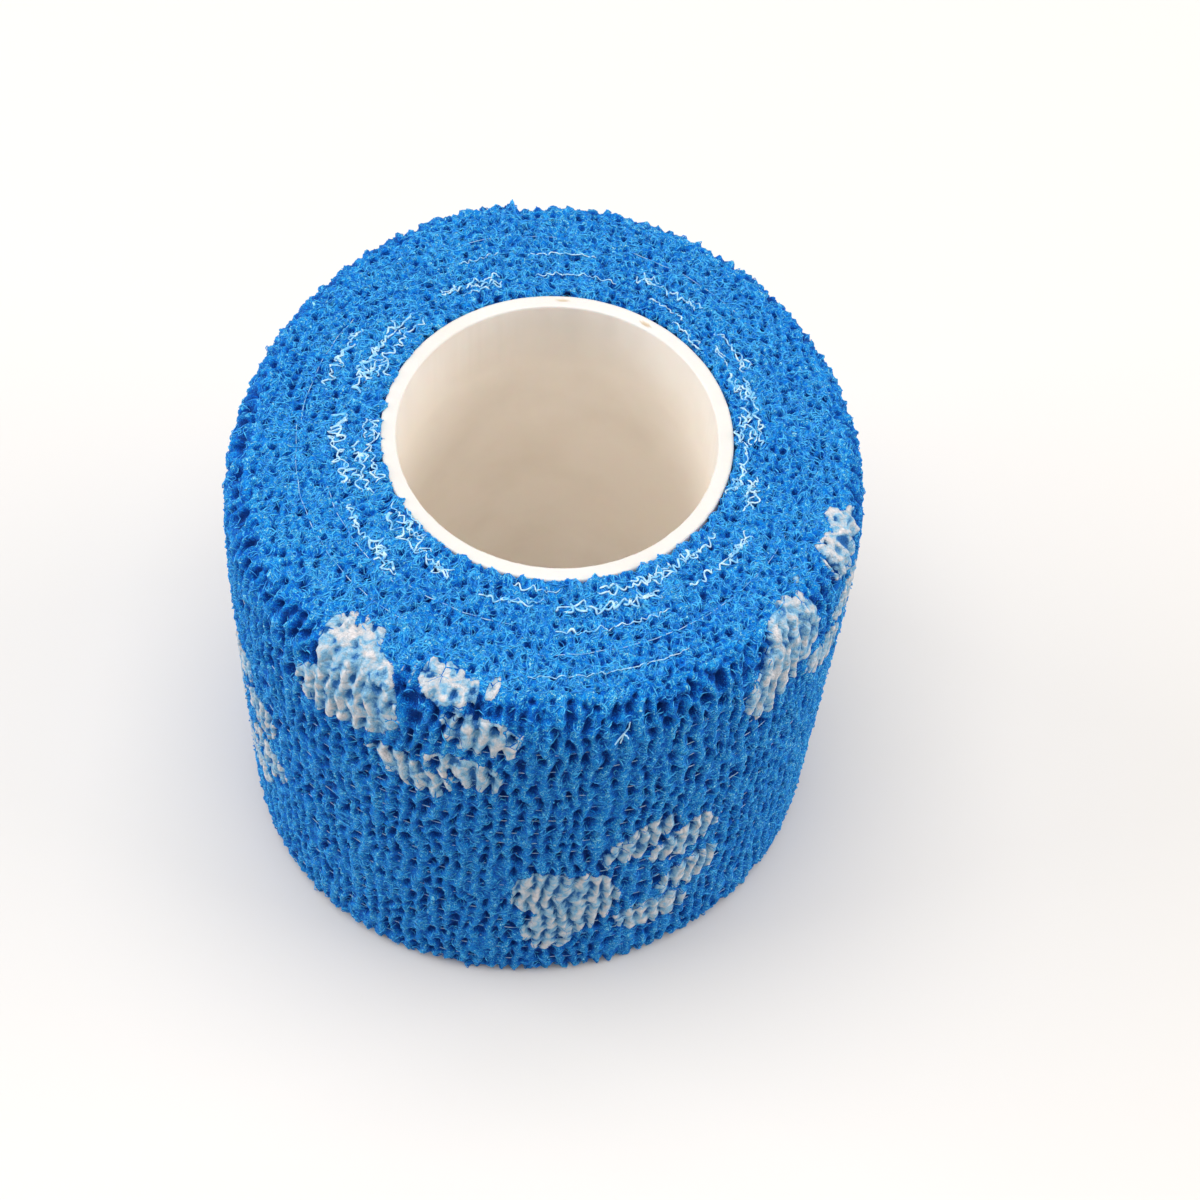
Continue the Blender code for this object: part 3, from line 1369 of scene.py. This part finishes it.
@dataclass
class StrayFibres:
    """Short curled fibres that stand off the felt, over the side and the two ends."""

    surface: CrinkledSurface
    threads: ThreadMaker
    side_count: int = 8800
    top_count: int = 9500
    base_count: int = 500
    points: int = 4
    length: tuple[float, float] = (0.5, 1.3)
    # Spread of a fibre's bend, in radians a millimetre
    curl: float = 2.6
    # About five times the real thickness, so that single fibres show
    thickness: float = 0.13
    lift: tuple[float, float] = (0.0, 0.14)
    # A fibre bridges what lies deeper than this
    bridge: float = -0.30
    # Places tried for each fibre kept, of which those on crests off the print are kept
    spare: float = 1.7
    # Fibres along the strip's cut end, and how far from it they start, in radians
    frayed: int = 420
    fray_spread: tuple[float, float] = (-0.012, 0.03)
    row_pitch: float = 0.5

    def build(self, material: bpy.types.Material) -> None:
        """Builds and dresses the fibres of the side and of the ends.

        Args:
            material: The fibres' finish.
        """
        strip = self.surface.strip
        for name, stretches, count, seed in (
            ("side_fibres", (Stretch.LOWER_SIDE, Stretch.UPPER_SIDE), self.side_count, 51),
            ("top_fibres", (Stretch.TOP_FACE,), self.top_count, 52),
            ("base_fibres", (Stretch.BASE_FACE,), self.base_count, 53),
        ):
            whole = Section.join([strip.section(stretch, self.row_pitch) for stretch in stretches])
            self._scatter(name, whole, count, seed, material)

    def _scatter(
        self, name: str, whole: Section, count: int, seed: int, material: bpy.types.Material
    ) -> None:
        """Scatters fibres over a stretch of the outline.

        Args:
            name: The piece's name.
            whole: The stretch.
            count: How many fibres.
            seed: Seed of their places.
            material: Their finish.
        """
        run = np.hypot(np.diff(whole.radius), np.diff(whole.height))
        along = np.concatenate(([0.0], np.cumsum(run)))
        bins = 400
        weight = np.interp(np.linspace(0.0, along[-1], bins), along, whole.radius)
        rng = np.random.default_rng(seed)
        tries = round(count * self.spare)
        starts = rng.choice(bins, tries, p=weight / weight.sum()) / (bins - 1.0) * along[-1]
        angles = rng.uniform(0.0, FULL_TURN, tries)
        if name == "side_fibres":
            angles[: self.frayed] = self.surface.strip.end_angle + rng.uniform(*self.fray_spread, self.frayed)
        there = whole.pick(np.interp(starts, along, np.arange(len(along))))
        cavity, printed = self.surface.marks(angles, there)[1:]
        crests = np.argsort(cavity + 2.0 * (printed > -0.1) + rng.uniform(0.0, 0.35, tries))[:count]
        starts, angles = starts[crests], angles[crests]
        heading = rng.uniform(0.0, FULL_TURN, count)
        bend = self.curl * rng.normal(0.0, 1.0, count)
        length = rng.uniform(*self.length, count)
        lift = rng.uniform(*self.lift, count)
        step = length / (self.points - 1)
        runs, turns = starts.copy(), angles.copy()
        path = []
        for number in range(self.points):
            at = whole.pick(np.interp(runs, along, np.arange(len(along))))
            relief = self.surface.marks(turns, at)[0]
            arch = math.sin(math.pi * number / (self.points - 1))
            height = np.maximum(relief, self.bridge) + lift * arch + 0.01
            place = self.surface.strip.points(turns, at, height)
            place[:, 2] = np.maximum(place[:, 2], 0.5 * self.thickness)
            path.append(place)
            runs = np.clip(runs + step * np.sin(heading), 0.0, along[-1])
            turns = turns + step * np.cos(heading) / np.maximum(at.radius, 1.0)
            heading = heading + bend * step
        paths = list(np.stack(path, axis=1))
        taper = np.array([0.6] + [1.0] * (self.points - 2) + [0.35])
        piece = self.threads.build(name, paths, self.thickness, [taper] * count)
        dress(piece, material)


@dataclass
class ElasticThreads:
    """The elastic threads that gather the strip: they show where they bridge the pits, and on the top end."""

    surface: CrinkledSurface
    threads: ThreadMaker
    # About twice the real thickness, so that they show
    thickness: float = 0.09
    sunk: float = 0.15
    top_lift: float = 0.10
    step: float = 0.45
    # How far a thread strays along the surface, and out of it and in
    side_stray: tuple[float, float] = (0.16, 0.10)
    top_stray: tuple[float, float] = (0.14, 0.10)
    # Short runs of a thread of an inner turn that lie bare on the top end:
    # angle where the run starts and ends, in degrees, and its radius about the core
    bare_runs: tuple[tuple[float, float, float], ...] = (
        (44, 75, 22.5),
        (92, 115, 23.1),
        (148, 180, 22.5),
        (180, 240, 22.7),
        (200, 233, 20.5),
        (232, 263, 20.1),
        (269, 337, 22.6),
    )

    def build(self, material: bpy.types.Material) -> None:
        """Builds and dresses the threads round the side and those on the top end.

        Args:
            material: The threads' finish.
        """
        for part, paths in (("side", self._side_paths()), ("top", self._top_paths())):
            piece = self.threads.build(f"elastic_threads_{part}", paths, self.thickness)
            dress(piece, material)

    def _side_paths(self) -> list[np.ndarray]:
        """Finds where the elastic threads of the side run.

        Returns:
            One path round the roll for each thread.
        """
        strip = self.surface.strip
        count = round(FULL_TURN * strip.outer_radius / self.step)
        angle = strip.end_angle + 0.004 + np.linspace(0.0, FULL_TURN - 0.02, count)
        share = angle / FULL_TURN
        one = np.ones_like(share)
        paths = []
        for number, height in enumerate(self.surface.thread_heights()):
            if not strip.base_shoulder[1] < height < strip.strip_width - strip.top_shoulder[1]:
                continue
            lane = np.full_like(share, number)
            at = height + self.side_stray[0] * PlaneNoise(61).waves(share * 90, 3.0 * lane, 90)
            section = Section(strip.side_radius(at), at, one, 0.0 * one, one, at)
            sway = self.side_stray[1] * PlaneNoise(62).waves(share * 70, 5.0 * lane, 70)
            paths.append(strip.points(angle, section, sway - self.sunk))
        return paths

    def _top_paths(self) -> list[np.ndarray]:
        """Finds where the bare runs on the top end lie.

        Returns:
            One path for each run.
        """
        strip = self.surface.strip
        paths = []
        for number, (start, end, radius) in enumerate(self.bare_runs):
            angle = np.radians(np.arange(start, end, 1.1))
            lane = np.full_like(angle, 2.0 * number)
            wave = self.top_stray[0] * PlaneNoise(63).waves(angle * 9.0 + 7.0, lane)
            at = strip.on_top(radius + wave)
            dip = self.top_stray[1] * PlaneNoise(64).waves(angle * 14.0 + 7.0, lane)
            paths.append(strip.points(angle, at, self.top_lift + dip))
        return paths


@dataclass
class PrintedEdges:
    """The printed film of inner turns, seen edge-on from the top as crinkled white threads."""

    surface: CrinkledSurface
    threads: ThreadMaker
    # About three times the real thickness, so that they show
    thickness: float = 0.31
    step: float = 0.11
    lift: float = 0.10
    snag_lift: float = 0.22
    # Crinkles, each as its reach and the length of its waves: sideways coarse, sideways fine, and along
    coarse_sway: tuple[float, float] = (0.90, 0.62)
    fine_sway: tuple[float, float] = (0.26, 0.36)
    slip: tuple[float, float] = (0.58, 0.60)
    # Start and end angle in degrees, radius about the core, and how strongly the edge crinkles
    runs: tuple[tuple[float, float, float, float], ...] = (
        (0, 24, 18.3, 0.8),
        (0, 24, 17.3, 0.8),
        (0, 10, 16.5, 0.6),
        (27, 42, 19.2, 0.8),
        (30, 37, 17.5, 0.6),
        (41, 51, 16.5, 0.6),
        (51, 71, 19.7, 0.8),
        (51, 64, 17.7, 0.5),
        (75, 99, 18.2, 0.35),
        (82, 99, 20.8, 0.35),
        (107, 117, 21.0, 0.4),
        (109, 127, 18.5, 0.7),
        (109, 122, 17.5, 0.6),
        (137, 170, 18.5, 1.0),
        (137, 163, 17.3, 0.8),
        (151, 169, 21.2, 0.9),
        (180, 201, 19.2, 1.2),
        (191, 207, 17.6, 1.0),
        (180, 204, 16.6, 0.6),
        (208, 230, 19.7, 1.0),
        (212, 229, 16.6, 0.6),
        (215, 242, 17.4, 0.9),
        (252, 267, 18.2, 0.6),
        (260, 273, 16.8, 0.5),
        (273, 301, 20.6, 0.4),
        (275, 301, 18.5, 1.0),
        (285, 325, 17.3, 0.8),
        (309, 331, 19.6, 0.8),
        (337, 349, 18.2, 0.8),
        (342, 360, 16.8, 0.7),
        (268, 301, 24.6, 0.2),
    )
    # A strand snagged out of the side: distances round the side and up the strip's width
    snag: tuple[tuple[tuple[float, float], ...], ...] = (
        ((8.4, 48.2), (8.35, 47.6), (7.9, 47.0), (7.5, 46.6), (7.1, 46.1)),
        ((7.9, 47.1), (7.8, 46.7), (7.6, 45.9)),
        ((7.8, 47.0), (8.1, 46.8), (8.25, 46.5)),
    )

    def build(self, material: bpy.types.Material) -> None:
        """Builds and dresses all of the runs.

        Args:
            material: The film's finish.
        """
        paths, widths = [], []
        for number, run in enumerate(self.runs + self._frayed()):
            path, width = self._run(number, *run)
            paths.append(path)
            widths.append(width)
        for strand in self.snag:
            paths.append(self._snagged(np.array(strand)))
            widths.append(np.full(len(strand), 0.5))
        piece = self.threads.build("printed_film_edges", paths, self.thickness, widths)
        dress(piece, material)

    def _frayed(self) -> tuple[tuple[float, float, float, float], ...]:
        """Adds short second strands beside the runs that crinkle most.

        Returns:
            The strands, in the same form as the runs.
        """
        rng = np.random.default_rng(77)
        strands = []
        for start, end, radius, crinkle in self.runs:
            if crinkle < 0.6:
                continue
            for _ in range(round((end - start) / 6.0)):
                middle, half = rng.uniform(start, end), rng.uniform(1.5, 4.0)
                strands.append((middle - half, middle + half, radius + rng.uniform(-0.6, 0.6), crinkle))
        return tuple(strands)

    def _snagged(self, strand: np.ndarray) -> np.ndarray:
        """Places one snagged strand, standing a little off the side.

        Args:
            strand: Distances round the side and up the strip's width.

        Returns:
            Its points.
        """
        strip = self.surface.strip
        section = strip.section(Stretch.UPPER_SIDE, 0.25)
        at = section.pick(np.interp(strand[:, 1], section.tape, np.arange(len(section.tape))))
        angle = strand[:, 0] / strip.outer_radius - 0.5 * math.pi
        relief = np.maximum(self.surface.marks(angle, at)[0], 0.0)
        return strip.points(angle, at, relief + self.snag_lift)

    def _run(
        self, number: int, start: float, end: float, radius: float, crinkle: float
    ) -> tuple[np.ndarray, np.ndarray]:
        """The path and thickness of one run.

        Args:
            number: The run's number, which seeds its shape.
            start: Angle where it starts, in degrees.
            end: Angle where it ends.
            radius: Its radius about the core.
            crinkle: How strongly it crinkles.

        Returns:
            Its points, and the share of the thickness at each.
        """
        strip = self.surface.strip
        count = max(8, round(math.radians(end - start) * radius / self.step))
        angle = np.radians(np.linspace(start, end, count))
        arc = angle * radius
        lane = np.full_like(arc, 4.0 * number)
        sway, fine, slip = (
            reach * crinkle * PlaneNoise(seed).waves(arc / wave + 9.0, lane)
            for seed, (reach, wave) in zip((71, 72, 73), (self.coarse_sway, self.fine_sway, self.slip))
        )
        sway = sway + fine
        turned = (arc + slip) / radius
        at = strip.on_top(radius + sway)
        relief = np.maximum(self.surface.end_marks(turned, at.radius)[0], -0.05)
        bob = 0.06 * PlaneNoise(74).waves(arc / 0.8 + 9.0, lane)
        width = 0.72 + 0.35 * PlaneNoise(75).waves(arc / 0.9 + 9.0, lane)
        width += 1.6 * np.maximum(0.0, PlaneNoise(76).waves(arc / 1.1 + 9.0, lane) - 0.35)
        width *= 0.35 + 0.65 * min(1.0, crinkle)
        width[0] = width[-1] = 0.25
        return strip.points(turned, at, relief + bob + self.lift), np.clip(width, 0.25, 1.7)


@dataclass
class CoreTube:
    """The sawn plastic core: a turned wall with softly burred rims and two small nicks. Millimetres."""

    length: float
    centre: Vector
    inner_radius: float = 14.3
    outer_radius: float = 15.7
    edge_round: float = 0.22
    columns: int = 360
    wall_steps: int = 6
    rim_steps: int = 7
    burr: float = 0.06
    saw_marks: float = 0.03
    nick_size: tuple[float, float] = (1.3, 0.22)
    nick_depth: float = 0.12
    # Angle in degrees and radius of each nick in the top rim
    nicks: tuple[tuple[float, float], ...] = ((91.0, 15.15), (60.0, 14.95))

    def build(self, material: bpy.types.Material) -> None:
        """Builds and dresses the tube, and puts it in the place of the plain one.

        Args:
            material: Its finish.
        """
        bm = bmesh.new()
        rail = [bm.verts.new((radius * MM, 0.0, height * MM)) for radius, height in self._outline()]
        for number in range(len(rail)):
            bm.edges.new((rail[number - 1], rail[number]))
        mesh = turned_mesh("core_tube_sawn", bm, self.columns)
        self._finish(mesh)
        tube = add_object("core_tube_sawn", mesh)
        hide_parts("core_tube")
        dress(tube, material)

    def _outline(self) -> list[tuple[float, float]]:
        """The wall's section, with rounded edges and rows across the rims and along the walls.

        Returns:
            Radius and height of each point, in order round the section.
        """
        round_ = self.edge_round
        inner, outer = self.inner_radius + round_, self.outer_radius - round_
        high, low = self.length - round_, round_
        corners = []
        for middle_r, middle_z, start in (
            (outer, high, 90.0),
            (outer, low, 0.0),
            (inner, low, -90.0),
            (inner, high, -180.0),
        ):
            angle = np.radians(start - 30.0 * np.arange(4))
            corners.append((middle_r + round_ * np.cos(angle), middle_z + round_ * np.sin(angle)))
        outline = []
        for number, corner in enumerate(corners):
            steps = self.rim_steps if number % 2 else self.wall_steps
            shares = np.arange(1, steps) / steps
            after = corners[(number + 1) % 4]
            straight = (here[-1] + (there[0] - here[-1]) * shares for here, there in zip(corner, after))
            outline += [*zip(*corner), *zip(*straight)]
        return outline

    def _finish(self, mesh: bpy.types.Mesh) -> None:
        """Roughens the sawn rims, presses the nicks in and writes the marks that the finish reads.

        Args:
            mesh: The spun wall.
        """
        places = read_places(mesh.vertices, "co").astype(float) / MM
        angle = np.arctan2(places[:, 1], places[:, 0])
        radius = np.hypot(places[:, 0], places[:, 1])
        share = (angle / FULL_TURN) % 1.0
        rim = smooth_step(places[:, 2], self.length - 0.35, self.length - 0.12)
        ragged = PlaneNoise(81).waves(share * 60, radius / 2.0, 60)
        ragged += 0.6 * PlaneNoise(82).waves(share * 150, radius / 2.0, 150)
        bored = smooth_step(-radius, -(self.inner_radius + 0.35), -self.inner_radius)
        nick = np.zeros_like(radius)
        for turn, ring in self.nicks:
            off = (angle - math.radians(turn)) * ring
            reach = 1.0 - (2.0 * off / self.nick_size[0]) ** 2 - ((radius - ring) / self.nick_size[1]) ** 2
            nick = np.maximum(nick, np.clip(reach, 0.0, 1.0) * rim)
        radius = radius - self.burr * rim * bored * np.maximum(0.0, ragged)
        height = places[:, 2] + self.saw_marks * rim * ragged - self.nick_depth * nick
        placed = np.column_stack((radius * np.cos(angle), radius * np.sin(angle), np.clip(height, 0.0, None)))
        placed = (placed + np.array([self.centre.x, self.centre.y, 0.0])) * MM
        write_points(mesh, placed, {"rim": rim, "nick": smooth_step(nick, 0.0, 0.5)})


# ---------------------------------------------------------------------------------------------
# Studio
# ---------------------------------------------------------------------------------------------


@dataclass(frozen=True)
class PhotoCamera:
    """The photograph's camera, about the centre of the roll's base. Angles in degrees, lengths in metres."""

    lens_mm: float = 69.0
    sensor_mm: float = 36.0
    elevation: float = 60.59
    roll: float = -3.46
    distance: float = 0.2459
    frame_px: float = 1200.0
    base_px: tuple[float, float] = (532.2, 719.4)
    base_centre: tuple[float, float] = (0.00002, -0.00024)

    def place(self) -> None:
        """Adds the camera and makes it the scene's."""
        high, turn = math.radians(self.elevation), math.radians(self.roll)
        back = Vector((0.0, -math.cos(high), math.sin(high)))
        right = Vector((1.0, 0.0, 0.0))
        up = Vector((0.0, math.sin(high), math.cos(high)))
        level = Matrix((right, up, back))
        focal_px = self.lens_mm / self.sensor_mm * self.frame_px
        half = 0.5 * self.frame_px
        towards = Vector((self.base_px[0] - half, half - self.base_px[1], -focal_px))
        aim = Vector((0.0, 0.0, -1.0)).rotation_difference(towards).to_matrix()
        to_camera = aim @ Matrix.Rotation(turn, 3, "Z") @ level
        lens = bpy.data.cameras.new("photo_camera")
        lens.lens = self.lens_mm
        lens.sensor_width = self.sensor_mm
        lens.clip_start = 0.01
        camera = add_object("photo_camera", lens)
        place = back * self.distance + Vector((*self.base_centre, 0.0))
        camera.matrix_world = Matrix.Translation(place) @ to_camera.transposed().to_4x4()
        bpy.context.scene.camera = camera


@dataclass(frozen=True)
class SoftLight:
    """One square soft box, aimed at the roll. Metres and watts."""

    name: str
    place: tuple[float, float, float]
    size: float
    power: float
    colour: str = "#FFFFFF"

    def add(self, target: Vector) -> None:
        """Adds the light.

        Args:
            target: Where it aims.
        """
        light = bpy.data.lights.new(self.name, "AREA")
        light.size = self.size
        light.energy = self.power
        light.color = linear(self.colour)[:3]
        lamp = add_object(self.name, light)
        lamp.location = self.place
        lamp.rotation_euler = (target - Vector(self.place)).to_track_quat("-Z", "Y").to_euler()


@dataclass
class Studio:
    """A pale table top, a white surround and three soft boxes."""

    table_half: float = 3.0
    aim_height: float = 0.025
    surround: str = "#FFFFFF"
    surround_strength: float = 0.52
    lights: tuple[SoftLight, ...] = (
        SoftLight("soft_box_above", (-0.04, 0.00, 0.75), 0.60, 4.8, "#FFFCF8"),
        SoftLight("soft_box_left", (-1.55, 0.05, 0.51), 1.25, 20.6, "#FFFFFF"),
        SoftLight("soft_box_right", (1.55, 0.05, 0.51), 1.25, 18.8, "#FFFAF5"),
    )

    def build(self) -> None:
        """Adds the table, the surround and the lights."""
        bm = bmesh.new()
        bmesh.ops.create_grid(bm, x_segments=2, y_segments=2, size=self.table_half)
        mesh = bpy.data.meshes.new("table_top")
        bm.to_mesh(mesh)
        bm.free()
        mesh.materials.append(PaleTable().make())
        table = add_object("table_top", mesh)
        world = bpy.data.worlds.new("white_surround")
        world.use_nodes = True
        sky = world.node_tree.nodes["Background"]
        sky.inputs["Color"].default_value = linear(self.surround)
        sky.inputs["Strength"].default_value = self.surround_strength
        bpy.context.scene.world = world
        target = Vector((0.0, 0.0, self.aim_height))
        for light in self.lights:
            light.add(target)
        view = bpy.context.scene.view_settings
        view.view_transform = "Standard"
        view.look = "None"


def main() -> None:
    """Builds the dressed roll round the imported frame."""
    logging.basicConfig(level=logging.INFO, format="%(name)s: %(message)s")
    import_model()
    core_low, core_high = (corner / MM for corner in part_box("core_tube"))
    core_centre = (core_low + core_high) / 2.0
    PhotoCamera().place()

    strip = WoundStrip()
    offset = Vector((strip.core_offset[0], strip.core_offset[1], 0.0))
    strip.axis = core_centre - offset
    surface = CrinkledSurface(strip)
    threads = ThreadMaker()

    ClothSkin(surface).build(CohesiveCloth().make())
    StrayFibres(surface, threads).build(DYED_FIBRE.make())
    ElasticThreads(surface, threads).build(BARE_ELASTIC.make())
    PrintedEdges(surface, threads).build(CUT_FILM.make())
    CoreTube(core_high.z, core_centre).build(ExtrudedPlastic().make())
    Studio().build()


if __name__ == "__main__":
    main()
